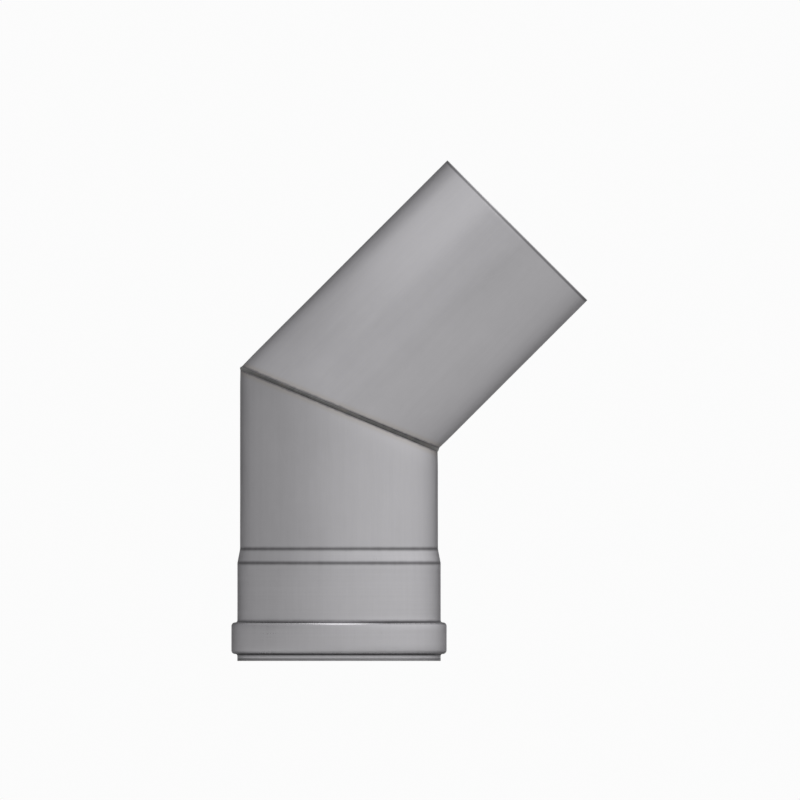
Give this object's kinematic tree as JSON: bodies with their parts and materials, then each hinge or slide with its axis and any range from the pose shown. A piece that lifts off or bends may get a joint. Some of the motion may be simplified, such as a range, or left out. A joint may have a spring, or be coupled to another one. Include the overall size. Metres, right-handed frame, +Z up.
{
  "type": "flue elbow",
  "caption": "Single-wall 45 degree flue elbow with a welded mitre, a beaded push-fit socket holding a lip seal at one end, and a plain spigot at the other.",
  "frame": {"origin": "middle of the bounding box's base, level with the socket's mouth; the socket's axis is parallel to Z at X = -0.0285 m, Y = 0", "axes": "+Z up the socket leg's axis, from the mouth to the mitre; +X towards the side that the spigot leg leans to, at 45 degrees; the legs' long seams are on the +Y side"},
  "size_m": [0.144, 0.087, 0.2024],
  "materials": {
    "satin_steel": "satin cold-rolled stainless sheet with a fine grain along the pipe",
    "weld_steel": "weld metal: rippled and oxidised at the mitre, planished at the long seams",
    "seal_rubber": "matt moulded silicone rubber"
  },
  "bodies": {
    "root": {"socket_leg": "satin_steel", "socket_leg_seam": "weld_steel", "spigot_leg": "satin_steel", "spigot_leg_seam": "weld_steel", "mitre_weld": "weld_steel", "lip_seal": "seal_rubber"}
  },
  "joints": []
}
